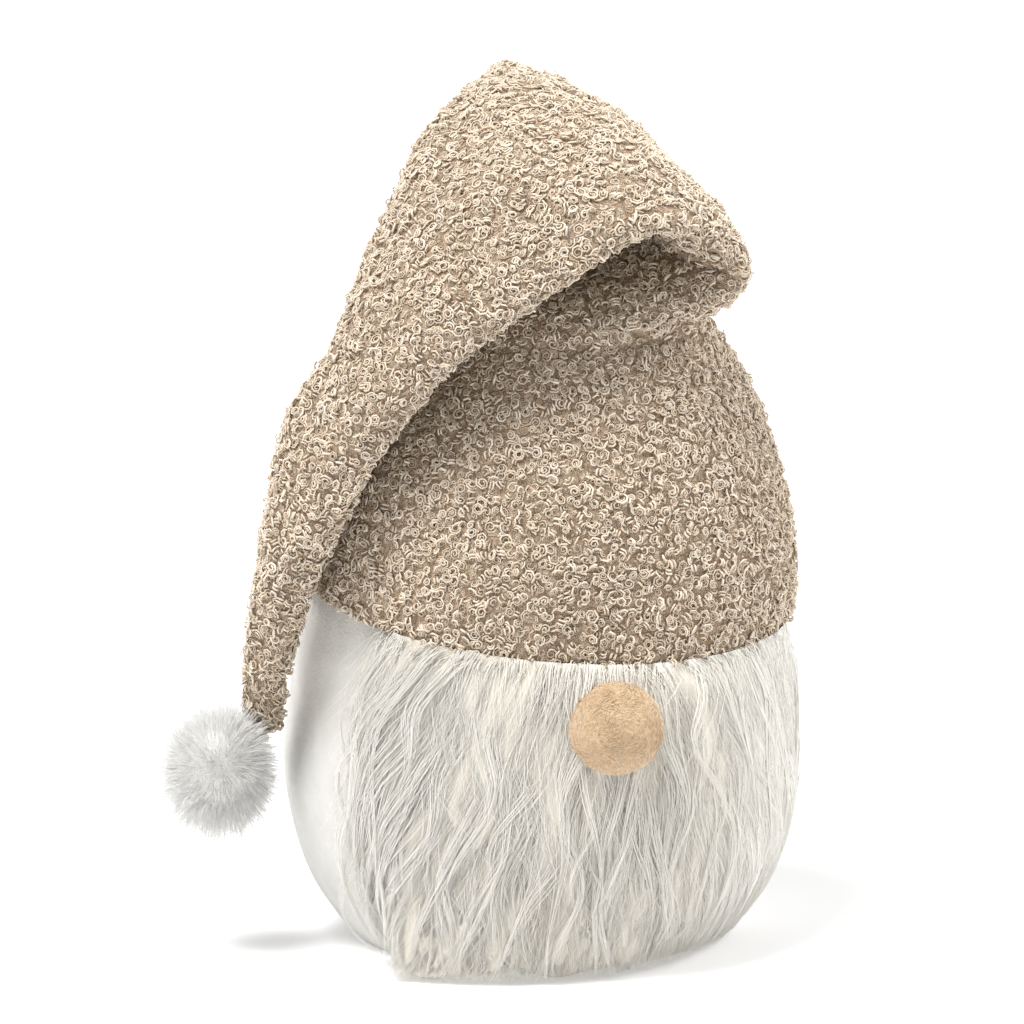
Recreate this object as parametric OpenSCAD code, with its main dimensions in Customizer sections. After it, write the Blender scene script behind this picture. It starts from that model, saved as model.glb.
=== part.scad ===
// Stuffed tomte gnome: a weighted egg-shaped plush body with a long-pile beard and a sewn ball
// nose, under a tall boucle cap that folds over and hangs down one side to a fur pompom.
// Millimetres, +Z up, nose towards -Y, origin at the centre of the flat base.

/* [Body] */
// Radius of the body at its widest
body_r = 102; // [96:1:106]
// Height of the widest ring above the base
waist_z = 78; // [70:1:86]
// Height of the body from its widest ring to its hidden top
body_rise = 154; // [148:1:160]
// Depth below the widest ring at which the lower curve would close
body_drop = 100; // [94:1:110]
// Thickness of the plush cloth
cloth = 2; // [1.5:0.1:2.5]

/* [Beard] */
// Half of the angle that the beard panel takes, measured from the nose
beard_half = 61; // [50:1:70]
// Depth of the long pile over its ground cloth at the middle of the beard
pile = 8; // [6:0.5:10]
// Radius that the beard's fringe reaches at the table
fringe_r = 95; // [85:1:100]

/* [Nose] */
// Radius of the ball
nose_r = 18.5; // [16:0.5:21]
// Height of the ball's centre
nose_z = 103; // [98:1:104]

/* [Cap] */
// Radius of the cap above its brim
cap_r = 103; // [102.5:0.1:104]
// Thickness of the boucle cloth
boucle = 3.5; // [2.5:0.1:3.6]
// Height of the brim on the body's axis
brim_z = 142; // [138:1:144]
// How much the brim rises towards the side where the tail hangs
brim_side = 10; // [8:1:16]
// How much the brim rises towards the back
brim_back = 12; // [8:1:16]
// Turn of the cap's fold from the face
cap_turn = -17; // [-17:1:-10]

/* [Pompom] */
// Radius of the pompom's dense pile
pom_r = 20.5; // [18:0.5:20.5]

/* [Hidden] */

gap = 0.25;          // clearance between pieces that lie against each other
loose = 0.8;         // clearance of the loose filling, more than the facets of the cloth round it
curve_up = 2.3;      // roundness of the body above its widest ring
curve_down = 2.4;    // roundness below it
body_top = waist_z + body_rise;
neck_z = 246;        // where the crown begins to fold
cap_round = 2.1;     // roundness of the crown
cap_loss = 0.355;    // share of its radius that the crown has lost at the neck
segments = 40;       // round the cap
white = "whitesmoke";
boucle_colour = "tan";
thread_colour = "ivory";

// ---- curves -------------------------------------------------------------------------------

// Radius of the body's outer surface at height z.
function body_at(z) =
    z >= waist_z
        ? body_r * pow(max(0, 1 - pow((z - waist_z) / body_rise, curve_up)), 1 / curve_up)
        : body_r * pow(1 - pow((waist_z - z) / body_drop, curve_down), 1 / curve_down);

// Radius of the cap's outer surface at height z.
function cap_at(z) =
    cap_r * (1 - cap_loss * pow(max(0, z - brim_z) / (neck_z - brim_z), cap_round));

function smooth(t) = let (u = max(0, min(1, t))) u * u * (3 - 2 * u);
function brim_at(x, y) = brim_z - brim_side * x / cap_r + brim_back * y / cap_r;
function unit(v) = v / norm(v);

// Outline of the body between two heights, offset outwards by off, as [radius, z] points.
function body_line(z0, z1, off, steps = 22) =
    [for (i = [0:steps]) let (z = z0 + (z1 - z0) * i / steps) [body_at(z) + off, z]];

function backwards(list) = [for (i = [len(list) - 1:-1:0]) list[i]];

// ---- cap and tail stations ----------------------------------------------------------------
// Each row is a cross-section of the folded cap in the fold's own frame, where +X is the side
// that the fold leans to and +Y is its back:
// centre x y z, the half-width vector x y z towards the lip, and the half-thickness.
// The first row only guides the curve.
STATIONS = [
    [22, 10, 212, 43, -52, 0, 68],
    [1, 5, neck_z, 43, -52, 0, 68],
    [25, 10, 280, 50, -56, -14, 30],
    [34, 8, 306, 48, -58, -30, 17],
    [17, -14, 316, 44, -54, -18, 18],
    [-3, -34, 308, 39, -44, -13, 19],
    [-25, -52, 288, 33, -36, -10, 18],
    [-45, -65, 265, 25, -28, -6, 17],
    [-62, -70, 241, 19, -23, -3, 15],
    [-78, -70, 218, 18, -20, -2, 14],
    [-91, -68, 186, 14, -18, -2, 12],
    [-100, -60, 152, 10, -13, 0, 10],
    [-106, -47, 121, 8, -10, 0, 9],
    [-108, -39, 101, 7, -8, 0, 8],
    [-108, -34, 88, 5, -6, 0, 6]
];
NECK = 1;                       // station where the crown meets the fold
HINGE_TOP = 5;                  // station where the hanging tail begins
HINGE_MID = 9;                  // station where the tail bends again
TIP = len(STATIONS) - 1;
hinge_gap = 0.02;               // share of a station step left open at each hinge

function spline(a, b, c, d, t) =
    0.5 * (2 * b + (c - a) * t + (2 * a - 5 * b + 4 * c - d) * t * t
        + (3 * b - a - 3 * c + d) * t * t * t);

// A station row at any place s along the list, by a Catmull-Rom curve through the rows.
function station(s) =
    let (i = min(floor(s), TIP - 1), t = s - i)
    spline(STATIONS[max(i - 1, 0)], STATIONS[i], STATIONS[i + 1],
        STATIONS[min(i + 2, TIP)], t);

function centre(s) = let (r = station(s)) [r[0], r[1], r[2]];
function half_width(s) = let (r = station(s)) [r[3], r[4], r[5]];

// Direction that the cross-section at s faces: along the curve, but kept upright near the neck.
function heading(s) =
    unit(unit(centre(min(s + 0.05, TIP)) - centre(s - 0.05)) + [0, 0, 5 * max(0, NECK + 1 - s)]);
function half_depth(s) = unit(cross(half_width(s), heading(s))) * station(s)[6];

hollow = 16;         // depth that the cloth sinks in by under the fold's lip
hollow_s = 2.25;     // where along the fold the hollow is deepest, and its angle from the lip
hollow_a = 48.7;

// Closed cross-section at s, drawn in by a wall.
function section(s, wall = 0) =
    let (c = centre(s), m = half_width(s), n = half_depth(s))
    [for (k = [0:segments - 1])
        let (
            a = 360 * k / segments,
            p = cos(a) * m * (1 - wall / norm(m)) + sin(a) * n * (1 - wall / norm(n)),
            sink = hollow * exp(-pow((s - hollow_s) / 0.75, 2) - pow((a - hollow_a) / 28.65, 2))
        )
        c + p * (1 - sink / norm(p))];

cap_seat = 1.3;      // room between the body and the crown at the brim
hem_extra = 1;       // how much the cloth turned under thickens the brim

// Ring of the crown at a share k of the way from the brim to the neck, drawn in by a wall.
function crown_ring(k, wall = 0) =
    let (m = half_width(NECK), start = atan2(m[1], m[0]), c = centre(NECK))
    [for (j = [0:segments - 1])
        let (
            a = start - 360 * j / segments,
            foot = brim_at(cap_r * cos(a), cap_r * sin(a)),
            z = foot + (neck_z - foot) * k,
            rest = body_at(foot) + cap_seat + boucle,
            pull = (cap_at(foot) - rest) * (1 - smooth((z - foot) / 45)),
            r = cap_at(z) - pull + (norm(m) - cap_at(neck_z)) * smooth(k) - wall,
            shift = smooth(k)
        )
        [c[0] * shift + r * cos(a), c[1] * shift + r * sin(a), z]];

// ---- solids from rings --------------------------------------------------------------------

function flat(list) = [for (row = list) each row];

// Faces between rings of n points each, joined in a loop: first outwards, then back inside.
function loop_faces(rings, n) =
    [for (i = [0:rings - 1], k = [0:n - 1])
        let (a = i * n, b = ((i + 1) % rings) * n, l = (k + 1) % n)
        each [[a + k, a + l, b + l], [a + k, b + l, b + k]]];

// A tube of cloth: outer rings up, inner rings back down, closed at both ends by its edge.
module tube_wall(outer, inner) {
    rings = concat(outer, backwards(inner));
    polyhedron(points = flat(rings), faces = loop_faces(len(rings), len(outer[0])), convexity = 8);
}

// A solid between its first and last ring, each closed by a fan to its middle.
module ring_solid(rings) {
    n = len(rings[0]);
    last = (len(rings) - 1) * n;
    middle = len(rings) * n;
    function mean(ring) = [for (i = [0:2]) [for (p = ring) p[i]] * [for (p = ring) 1] / n];
    polyhedron(
        points = concat(flat(rings), [mean(rings[0]), mean(rings[len(rings) - 1])]),
        faces = concat(
            [for (i = [0:len(rings) - 2], k = [0:n - 1])
                let (a = i * n, b = (i + 1) * n, l = (k + 1) % n)
                each [[a + k, a + l, b + l], [a + k, b + l, b + k]]],
            [for (k = [0:n - 1]) [middle, (k + 1) % n, k]],
            [for (k = [0:n - 1]) [middle + 1, last + k, last + (k + 1) % n]]),
        convexity = 8);
}

function places(s0, s1, steps) = [for (i = [0:steps]) s0 + (s1 - s0) * i / steps];

module cap_tube(s0, s1, steps) {
    at = places(s0, s1, steps);
    tube_wall([for (s = at) section(s)], [for (s = at) section(s, boucle)]);
}

module in_fold_frame() rotate([0, 0, cap_turn]) children();

// Half-space above the brim's plane.
module above_brim(lift = 0) {
    in_fold_frame()
        multmatrix([
            [1, 0, 0, 0],
            [0, 1, 0, 0],
            [-brim_side / cap_r, brim_back / cap_r, 1, brim_z + lift],
            [0, 0, 0, 1]
        ])
            translate([-150, -150, 0]) cube([300, 300, 200]);
}

// ---- body ---------------------------------------------------------------------------------

// One gore of the body, from angle a0 through a, measured from +X.
module gore(a0, a) {
    rotate([0, 0, a0])
        rotate_extrude(angle = a, $fn = 120)
            polygon(concat(body_line(0, body_top - 6, 0), backwards(body_line(0, body_top - 6, -cloth))));
}

front = 270;                    // angle of the nose
seam_gap = 0.05;                // angle left at each seam
back_angle = 180 - beard_half;  // angle that each back panel takes

module beard_ground() color(white) gore(front - beard_half, 2 * beard_half);

module back_panel_left() color(white)
    gore(front - beard_half - back_angle + seam_gap, back_angle - 2 * seam_gap);

module back_panel_right() color(white) gore(front + beard_half + seam_gap, back_angle - 2 * seam_gap);

module base_panel() color(white) cylinder(r = body_at(0) - cloth - gap, h = cloth, $fn = 120);

bag_r = 62;
bag_h = 34;
bag_z = cloth + gap;
bag_wall = 0.8;

// Flattened cushion shape of the pellet bag, drawn in by a wall.
module bag_shape(wall = 0) {
    edge = bag_h / 2 - wall;
    translate([0, 0, bag_z + bag_h / 2])
        rotate_extrude($fn = 96)
            intersection() {
                translate([bag_r - bag_h / 2, 0]) circle(r = edge, $fn = 48);
                translate([0, -bag_h]) square([bag_r, 2 * bag_h]);
            }
    translate([0, 0, bag_z + wall]) cylinder(r = bag_r - bag_h / 2, h = 2 * edge, $fn = 96);
}

module pellet_bag() color("linen") difference() {
    bag_shape();
    bag_shape(bag_wall);
}

module pellets() color("lightgray") bag_shape(bag_wall + gap);

fill_top = body_top - 14;

module fibre_filling() color("white") difference() {
    rotate_extrude($fn = 120)
        polygon(concat(
            [[0, cloth + gap]], body_line(cloth + gap, fill_top, -cloth - loose), [[0, fill_top]]));
    bag_shape(-gap);
    translate([0, 0, -1]) cylinder(r = bag_r - bag_h / 2, h = bag_z + 2, $fn = 96);
}

// Hand-sewn stitches that close the back seam over the turning hole.
module closing_stitches() color(thread_colour)
    for (z = [24:6:72])
        translate([-2.5, body_at(z) + 0.45, z]) rotate([0, 90, 0]) cylinder(r = 0.4, h = 5, $fn = 16);

// ---- beard --------------------------------------------------------------------------------

pile_foot = 1.5;                // the fringe clears the table by this much

// Outside of the fur: thin under the brim, then hanging nearly straight from the widest ring.
function fur_at(z) =
    z >= waist_z
        ? body_at(z) + pile * (0.45 + 0.55 * smooth((150 - z) / 70))
        : body_r + pile - (body_r + pile - fringe_r) * pow((waist_z - z) / waist_z, 1.5);

module beard_pile() color("ivory") difference() {
    rotate([0, 0, front - beard_half + 1])
        rotate_extrude(angle = 2 * beard_half - 2, $fn = 120)
            polygon(concat(
                body_line(pile_foot, 160, gap),
                [for (i = [14:-1:0]) let (z = pile_foot + (160 - pile_foot) * i / 14) [fur_at(z), z]]));
    above_brim(-1);
    translate(nose_place) sphere(r = nose_r + gap, $fn = 64);
}

// ---- nose ---------------------------------------------------------------------------------

nose_out = 8;                   // how far the ball's centre stands off the ground cloth
nose_wall = 1.4;
nose_place = [0, -body_at(nose_z) - nose_out, nose_z];

// Half outline of the ball with its flat back downwards, drawn in by a wall.
module nose_half(wall = 0) intersection() {
    circle(r = nose_r - wall, $fn = 96);
    translate([0, wall - nose_out + gap + 0.5]) square([2 * nose_r, 2 * nose_r]);
}

module nose_cover() color("burlywood")
    translate(nose_place) rotate([90, 0, 0]) rotate_extrude($fn = 96) difference() {
        nose_half();
        nose_half(nose_wall);
    }

module nose_filling() color("white")
    translate(nose_place) rotate([90, 0, 0]) rotate_extrude($fn = 96) nose_half(nose_wall + gap);

// Two stitches that hold the ball to the ground cloth.
module nose_thread() color(thread_colour)
    for (x = [-3, 3])
        translate([x, nose_place[1] + nose_out - 5, nose_z])
            rotate([-90, 0, 0]) cylinder(r = 0.5, h = 7.4, $fn = 16);

// ---- cap ----------------------------------------------------------------------------------

crown_rings = places(0, 0.98, 10);
fold_rings = places(NECK, HINGE_TOP - hinge_gap, 14);
function crown_wall(k) = boucle + hem_extra * (1 - smooth(k * 6));

// The cloth from the brim up through the neck and over the fold, to where the tail hangs free.
module cap_crown() color(boucle_colour) in_fold_frame()
    tube_wall(
        concat([for (k = crown_rings) crown_ring(k)], [for (s = fold_rings) section(s)]),
        concat([for (k = crown_rings) crown_ring(k, crown_wall(k))],
            [for (s = fold_rings) section(s, boucle)]));

// Hidden stitches through the brim into the body.
module cap_stitches() color(thread_colour) in_fold_frame()
    for (a = [0:15:345]) {
        z = brim_at(cap_r * cos(a), cap_r * sin(a)) + 7;
        rotate([0, 0, a]) translate([body_at(z) - cloth, 0, z])
            rotate([0, 90, 0]) cylinder(r = 0.4, h = cloth + 3, $fn = 16);
    }

// Wad of fibre over the body's top and up into the fold, which holds the cap up.
module cap_filling() color("white") difference() {
    wall = boucle + 3 * loose;
    in_fold_frame() ring_solid(concat(
        [for (i = [5:len(crown_rings) - 1]) crown_ring(crown_rings[i], wall)],
        [for (i = [0:len(fold_rings) - 2]) section(fold_rings[i], wall)]));
    rotate_extrude($fn = 72)
        polygon(concat([[0, 150]], body_line(150, body_top - 0.5, loose), [[0, body_top + loose]]));
}

// ---- tail and pompom ----------------------------------------------------------------------

module tail_upper() color(boucle_colour) in_fold_frame()
    cap_tube(HINGE_TOP + hinge_gap, HINGE_MID - hinge_gap, 12);

module tail_lower() color(boucle_colour) in_fold_frame()
    cap_tube(HINGE_MID + hinge_gap, TIP, 14);

// Gathering thread wound round the tail's tip.
module tail_gather() color(thread_colour) in_fold_frame()
    translate(centre(TIP) + [0, 0, 2])
        rotate_extrude($fn = 48) translate([9.6, 0]) circle(r = 0.6, $fn = 20);

knot_drop = 3;                  // the knot's centre lies this far below the tail's tip
knot_r = 1.6;
knot = centre(TIP) - [0, 0, knot_drop];
pom_place = knot + [-18, -10, -17];
pom_core_r = 9;

module pompom_fur() color("white") in_fold_frame() translate(pom_place) difference() {
    sphere(r = pom_r, $fn = 64);
    sphere(r = pom_core_r + gap, $fn = 64);
}

module pompom_filling() color("white") in_fold_frame() translate(pom_place)
    sphere(r = pom_core_r, $fn = 64);

// Knot under the tail's tip and the thread that runs from it into the pompom.
module pompom_tie() color(thread_colour) in_fold_frame() {
    run = pom_place - knot;
    translate(knot) sphere(r = knot_r, $fn = 32);
    translate(knot)
        rotate([0, acos(run[2] / norm(run)), atan2(run[1], run[0])])
            cylinder(r = 0.6, h = norm(run) - 4, $fn = 20);
}

beard_ground();
back_panel_left();
back_panel_right();
base_panel();
fibre_filling();
pellet_bag();
pellets();
closing_stitches();
beard_pile();
nose_cover();
nose_filling();
nose_thread();
cap_crown();
cap_stitches();
cap_filling();
tail_upper();
tail_lower();
tail_gather();
pompom_fur();
pompom_filling();
pompom_tie();
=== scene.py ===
# Stuffed tomte gnome: a plush body on a weighted flat base, a beard of long faux fur, a velour ball
# nose, and a boucle cap that folds over and hangs down one side to a fur pompom.
# Metres, +Z up, nose towards -Y. Sizes inside the sections are in millimetres until a mesh is made.

import bpy
import numpy as np
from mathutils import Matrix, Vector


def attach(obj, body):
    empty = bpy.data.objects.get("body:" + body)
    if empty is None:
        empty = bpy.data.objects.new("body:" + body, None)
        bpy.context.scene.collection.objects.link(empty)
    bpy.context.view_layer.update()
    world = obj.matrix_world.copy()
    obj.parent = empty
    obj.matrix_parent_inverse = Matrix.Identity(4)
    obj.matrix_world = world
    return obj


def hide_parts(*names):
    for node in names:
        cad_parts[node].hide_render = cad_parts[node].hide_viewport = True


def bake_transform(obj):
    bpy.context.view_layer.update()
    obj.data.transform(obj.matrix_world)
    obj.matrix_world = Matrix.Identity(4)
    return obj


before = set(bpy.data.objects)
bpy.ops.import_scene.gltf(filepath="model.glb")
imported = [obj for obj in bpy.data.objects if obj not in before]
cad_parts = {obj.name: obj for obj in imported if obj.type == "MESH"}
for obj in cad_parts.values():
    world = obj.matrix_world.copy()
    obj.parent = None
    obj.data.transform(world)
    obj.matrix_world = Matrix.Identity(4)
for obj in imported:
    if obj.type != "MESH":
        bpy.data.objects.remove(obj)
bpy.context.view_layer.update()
MM = 0.001

# ---- Studio: camera, lights and floor ---------------------------------------------------------
# A long lens looks at the gnome from a little to its right and above, on a pale sweep of paper
# under a large soft box overhead, with a weak fill from the other side. The paper glows a little,
# as a light table does, so that it stays white behind the gnome. The camera sees seen_half metres
# each way from aim.

look_turn, look_rise, distance = np.radians(-17), np.radians(12), 6.0
ahead = np.array([
    -np.sin(look_turn) * np.cos(look_rise), np.cos(look_turn) * np.cos(look_rise), -np.sin(look_rise)])
aim, seen_half = np.array([0.0005, 0.0358, 0.162]), 0.2048
camera = bpy.data.objects.new("camera", bpy.data.cameras.new("camera"))
camera.data.sensor_width = 36
camera.data.lens = 18 * distance / seen_half
camera.data.clip_start, camera.data.clip_end = 0.5, 40
camera.location = aim - ahead * distance
camera.rotation_mode = "QUATERNION"
camera.rotation_quaternion = Vector(ahead).to_track_quat("-Z", "Y")
bpy.context.collection.objects.link(camera)
bpy.context.scene.camera = camera
bpy.context.scene.view_settings.view_transform = "Standard"


def linear(code, alpha=1.0):
    """An sRGB hex colour as linear RGBA: each channel c goes to ((c + 0.055) / 1.055) ^ 2.4,
    or c / 12.92 where it is under 0.04045."""
    c = np.array([int(code[i:i + 2], 16) for i in (1, 3, 5)]) / 255
    return (*np.where(c > 0.04045, ((c + 0.055) / 1.055) ** 2.4, c / 12.92), alpha)


def lamp(name, place, size, power):
    """A square soft box of that size at place, in metres, turned to face the gnome's middle."""
    box = bpy.data.objects.new(name, bpy.data.lights.new(name, "AREA"))
    box.data.size, box.data.energy = size, power
    box.location = place
    box.rotation_mode = "QUATERNION"
    box.rotation_quaternion = (Vector((0, 0, 0.17)) - Vector(place)).to_track_quat("-Z", "Y")
    bpy.context.collection.objects.link(box)


lamp("soft_box", (-2.1, -0.8, 5.0), 2.2, 355)
lamp("fill_box", (1.8, -0.3, 1.6), 0.9, 30)

world = bpy.data.worlds.new("studio")
world.use_nodes = True
world.node_tree.nodes["Background"].inputs["Color"].default_value = (1, 1, 1, 1)
world.node_tree.nodes["Background"].inputs["Strength"].default_value = 0.39
bpy.context.scene.world = world


def add(tree, kind, sockets=None, **settings):
    """Adds a shader node of that kind. settings are its properties; sockets maps an input's name
    or number to a value, or to the output that feeds it."""
    node = tree.nodes.new("ShaderNode" + kind)
    for name, value in settings.items():
        setattr(node, name, value)
    for key, value in (sockets or {}).items():
        if isinstance(value, bpy.types.NodeSocket):
            tree.links.new(value, node.inputs[key])
        else:
            node.inputs[key].default_value = value
    return node


def new_material(name):
    """A material with nothing but its output; returns it and its node tree."""
    material = bpy.data.materials.new(name)
    material.use_nodes = True
    material.node_tree.nodes.clear()
    return material, material.node_tree


def mesh_piece(name, points, faces, material, **values):
    """Makes a smooth mesh from points in millimetres, with faces as a list of arrays, one face a
    row. values are floats to keep on the points under their names."""
    mesh = bpy.data.meshes.new(name)
    corners = np.concatenate([f.ravel() for f in faces]).astype(np.int32)
    sizes = np.concatenate([np.full(len(f), f.shape[1]) for f in faces])
    mesh.vertices.add(len(points))
    mesh.vertices.foreach_set("co", (points * MM).astype(np.float32).ravel())
    mesh.loops.add(len(corners))
    mesh.loops.foreach_set("vertex_index", corners)
    mesh.polygons.add(len(sizes))
    mesh.polygons.foreach_set("loop_start", np.concatenate([[0], np.cumsum(sizes)[:-1]]).astype(np.int32))
    mesh.polygons.foreach_set("use_smooth", np.ones(len(sizes), bool))
    mesh.update(calc_edges=True)
    mesh.validate()
    for key, value in values.items():
        mesh.attributes.new(key, "FLOAT", "POINT").data.foreach_set("value", value.astype(np.float32))
    mesh.materials.append(material)
    piece = bpy.data.objects.new(name, mesh)
    bpy.context.collection.objects.link(piece)
    return piece


def grid_faces(rows, columns, wrap=True):
    """Quads between neighbouring rows of a grid, closed round each row when wrap is true. They
    face outwards when columns run anticlockwise seen from above and rows run upwards."""
    j = np.arange(columns if wrap else columns - 1)
    i = np.arange(rows - 1)[:, None]
    k = (j + 1) % columns
    quad = [i * columns + j, i * columns + k, (i + 1) * columns + k, (i + 1) * columns + j]
    return np.stack(np.broadcast_arrays(*quad), -1).reshape(-1, 4)


def capped_faces(rows, columns):
    """Faces of a closed form: a grid of rings, then a point under its first ring and a point over
    its last. Returns the quads and the two fans of triangles."""
    j = np.arange(columns)
    k = (j + 1) % columns
    low, high = rows * columns, rows * columns + 1
    first = np.stack([k, j, 0 * j + low], -1)
    last = np.stack([j + low - columns, k + low - columns, 0 * j + high], -1)
    return grid_faces(rows, columns), np.concatenate([first, last])


def poles(grid):
    """A grid of rings as rows of points, with the middles of its first and last ring after them."""
    return np.concatenate([grid.reshape(-1, 3), grid[:1].mean(1), grid[-1:].mean(1)])


def about_z(r, a, z):
    """Points at radius r, angle a and height z about the Z axis."""
    return np.stack(np.broadcast_arrays(r * np.cos(a), r * np.sin(a), z), -1)


paper, tree = new_material("matt_backdrop_paper")
shader = add(tree, "BsdfPrincipled", {
    "Base Color": linear("#E6E6E6"), "Roughness": 0.9, "Emission Color": (1, 1, 1, 1),
    "Emission Strength": 0.29})
add(tree, "OutputMaterial", {0: shader.outputs[0]})
floor_ring = np.linspace(0, 2 * np.pi, 96, endpoint=False)
floor_size = np.array([0.0, 200.0, 2000.0, 6000.0])[:, None]
floor = mesh_piece("floor", about_z(floor_size, floor_ring, 0.0).reshape(-1, 3),
                   [grid_faces(4, 96)[:, ::-1]], paper)

# ---- Body -------------------------------------------------------------------------------------
# A cushion sewn from three gores and a round base panel, stuffed hard with polyester fibre over a
# bag of pellets. The gores meet at the edges of the beard and down the middle of the back.

body_r, waist_z, body_rise, body_drop, beard_half = 102.0, 78.0, 154.0, 100.0, np.radians(61)


def body_radius(z):
    """Radius of the body at height z: a superellipse of power 2.3 above its widest ring and 2.4
    below it."""
    up = np.maximum(0, 1 - np.clip((z - waist_z) / body_rise, 0, 1) ** 2.3) ** (1 / 2.3)
    down = (1 - np.clip((waist_z - z) / body_drop, 0, 1) ** 2.4) ** (1 / 2.4)
    return body_r * np.where(z >= waist_z, up, down)


def smooth(t):
    """0 before t = 0, 1 after t = 1, and 3t^2 - 2t^3 between."""
    t = np.clip(t, 0, 1)
    return t * t * (3 - 2 * t)


def wrinkle(x, y, seed, size, count=14):
    """Soft random waves over a plane: a sum of count sines with wavelengths about size, each with
    its own direction and phase, scaled to about -1 to 1."""
    draw = np.random.default_rng(seed)
    turn = draw.uniform(0, 2 * np.pi, count)
    rate = 2 * np.pi / (size * draw.uniform(0.7, 1.6, count))
    phase = draw.uniform(0, 2 * np.pi, count)
    x, y = np.asarray(x)[..., None], np.asarray(y)[..., None]
    waves = np.sin(rate * (x * np.cos(turn) + y * np.sin(turn)) + phase)
    return waves.sum(-1) / np.sqrt(count) / 1.4


around, rings = 144, 64
turn = np.linspace(-np.pi / 2, 1.5 * np.pi, around, endpoint=False)
rise = np.linspace(0, 1, rings)
height = 229 * (rise - 0.055 * np.sin(2 * np.pi * rise))
skin_r = body_radius(height)[:, None] * np.ones(around)
from_nose = (turn + np.pi / 2 + np.pi) % (2 * np.pi) - np.pi
seam_near = np.minimum(np.abs(np.abs(from_nose) - beard_half), np.pi - np.abs(from_nose))
seam_dip = np.exp(-((seam_near * 95 / 4.5) ** 2))
skin = about_z(skin_r, turn, height[:, None])
base_rings = 16
inner_rings = np.linspace(0.06, 0.97, base_rings)
base = about_z(inner_rings[:, None] * skin_r[0, 0], turn, 0.0)
skin = np.concatenate([base, skin])

minky, tree = new_material("short_minky_plush")
# Knitted polyester with a 2 mm dense brushed pile: matt, with a pale rim where the pile turns
# edge-on, faint brush marks some 12 mm long and tufts under a millimetre across.
place = add(tree, "TexCoord").outputs["Object"]
tufts = add(tree, "TexNoise", {"Vector": place, "Scale": 900, "Detail": 3, "Roughness": 0.6})
dents = add(tree, "TexNoise", {"Vector": place, "Scale": 230, "Detail": 3, "Roughness": 0.55})
brush = add(tree, "TexNoise", {"Vector": place, "Scale": 55, "Detail": 2, "Distortion": 0.6})
pile_height = add(tree, "Math", {0: tufts.outputs["Fac"], 1: dents.outputs["Fac"]}, operation="ADD")
bump = add(tree, "Bump", {"Strength": 0.55, "Distance": 0.0011, "Height": pile_height.outputs[0]})
shade = add(tree, "MapRange", {"Value": brush.outputs["Fac"], "From Min": 0.35, "From Max": 0.65})
colour = add(tree, "Mix", {
    0: shade.outputs[0], 6: linear("#D8D6D0"), 7: linear("#E3E1DC")}, data_type="RGBA")
shader = add(tree, "BsdfPrincipled", {
    "Base Color": colour.outputs[2], "Roughness": 0.95, "Specular IOR Level": 0.2, "Sheen Weight": 0.35,
    "Sheen Roughness": 0.5, "Normal": bump.outputs[0]})
add(tree, "OutputMaterial", {0: shader.outputs[0]})

body = mesh_piece("body_cushion", poles(skin), capped_faces(base_rings + rings, around), minky)


def mesh_points(mesh):
    """The mesh's points in metres, one a row."""
    points = np.empty(len(mesh.vertices) * 3, np.float32)
    mesh.vertices.foreach_get("co", points)
    return points.reshape(-1, 3)


def inflate(piece, held, pressure, most, frames=20):
    """Stuffs a closed skin by cloth simulation: pressure swells it with no gravity while the
    points with held near 1 stay put, and no point ends further than most millimetres away."""
    mesh = piece.data
    start = mesh_points(mesh)
    pins = piece.vertex_groups.new(name="held")
    for level in np.unique(np.round(held, 1)):
        if level > 0:
            pins.add(np.flatnonzero(np.round(held, 1) == level).tolist(), float(level), "REPLACE")
    cloth = piece.modifiers.new("stuffing", "CLOTH")
    cloth.settings.quality = 6
    cloth.settings.mass = 0.2
    cloth.settings.tension_stiffness = cloth.settings.compression_stiffness = 12
    cloth.settings.shear_stiffness = 6
    cloth.settings.bending_stiffness = 0.3
    cloth.settings.vertex_group_mass = "held"
    cloth.settings.use_pressure = True
    cloth.settings.uniform_pressure_force = pressure
    cloth.settings.effector_weights.gravity = 0
    cloth.collision_settings.use_self_collision = False
    scene = bpy.context.scene
    for step in range(1, frames + 1):
        scene.frame_set(step)
    solved = piece.evaluated_get(bpy.context.evaluated_depsgraph_get())
    move = mesh_points(solved.data) - start
    length = np.linalg.norm(move, axis=1, keepdims=True)
    move *= np.minimum(1, most * MM / np.maximum(length, 1e-9))
    piece.modifiers.remove(cloth)
    piece.vertex_groups.remove(pins)
    scene.frame_set(1)
    mesh.vertices.foreach_set("co", (start + move).astype(np.float32).ravel())
    mesh.update()


held = np.concatenate([np.ones((base_rings, around)), np.maximum(
    seam_dip * np.ones((rings, 1)), (height < 3)[:, None] * np.ones(around))])
held = np.append(held.ravel(), [1, 1])
inflate(body, held, 3, 3)
points = mesh_points(body.data) / MM
ends, points = points[-2:], points[:-2].reshape(-1, around, 3)
facing = points[..., :2] / np.maximum(np.linalg.norm(points[..., :2], axis=-1, keepdims=True), 1e-6)
arc = (from_nose * 95)[None, :]
dent = 1.3 * wrinkle(arc + 0 * points[..., 2], points[..., 2], 3, 60) - 1.6
dent -= 1.8 * seam_dip[None, :]
dent *= smooth(points[..., 2:3] / 14)[..., 0]
points[..., :2] += facing * dent[..., None]
points = np.concatenate([points.reshape(-1, 3), ends])
body.data.vertices.foreach_set("co", (points * MM).astype(np.float32).ravel())
body.data.update()
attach(body, "figure")
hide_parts("beard_ground", "back_panel_left", "back_panel_right", "base_panel")

wadding, tree = new_material("polyester_wadding")
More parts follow.
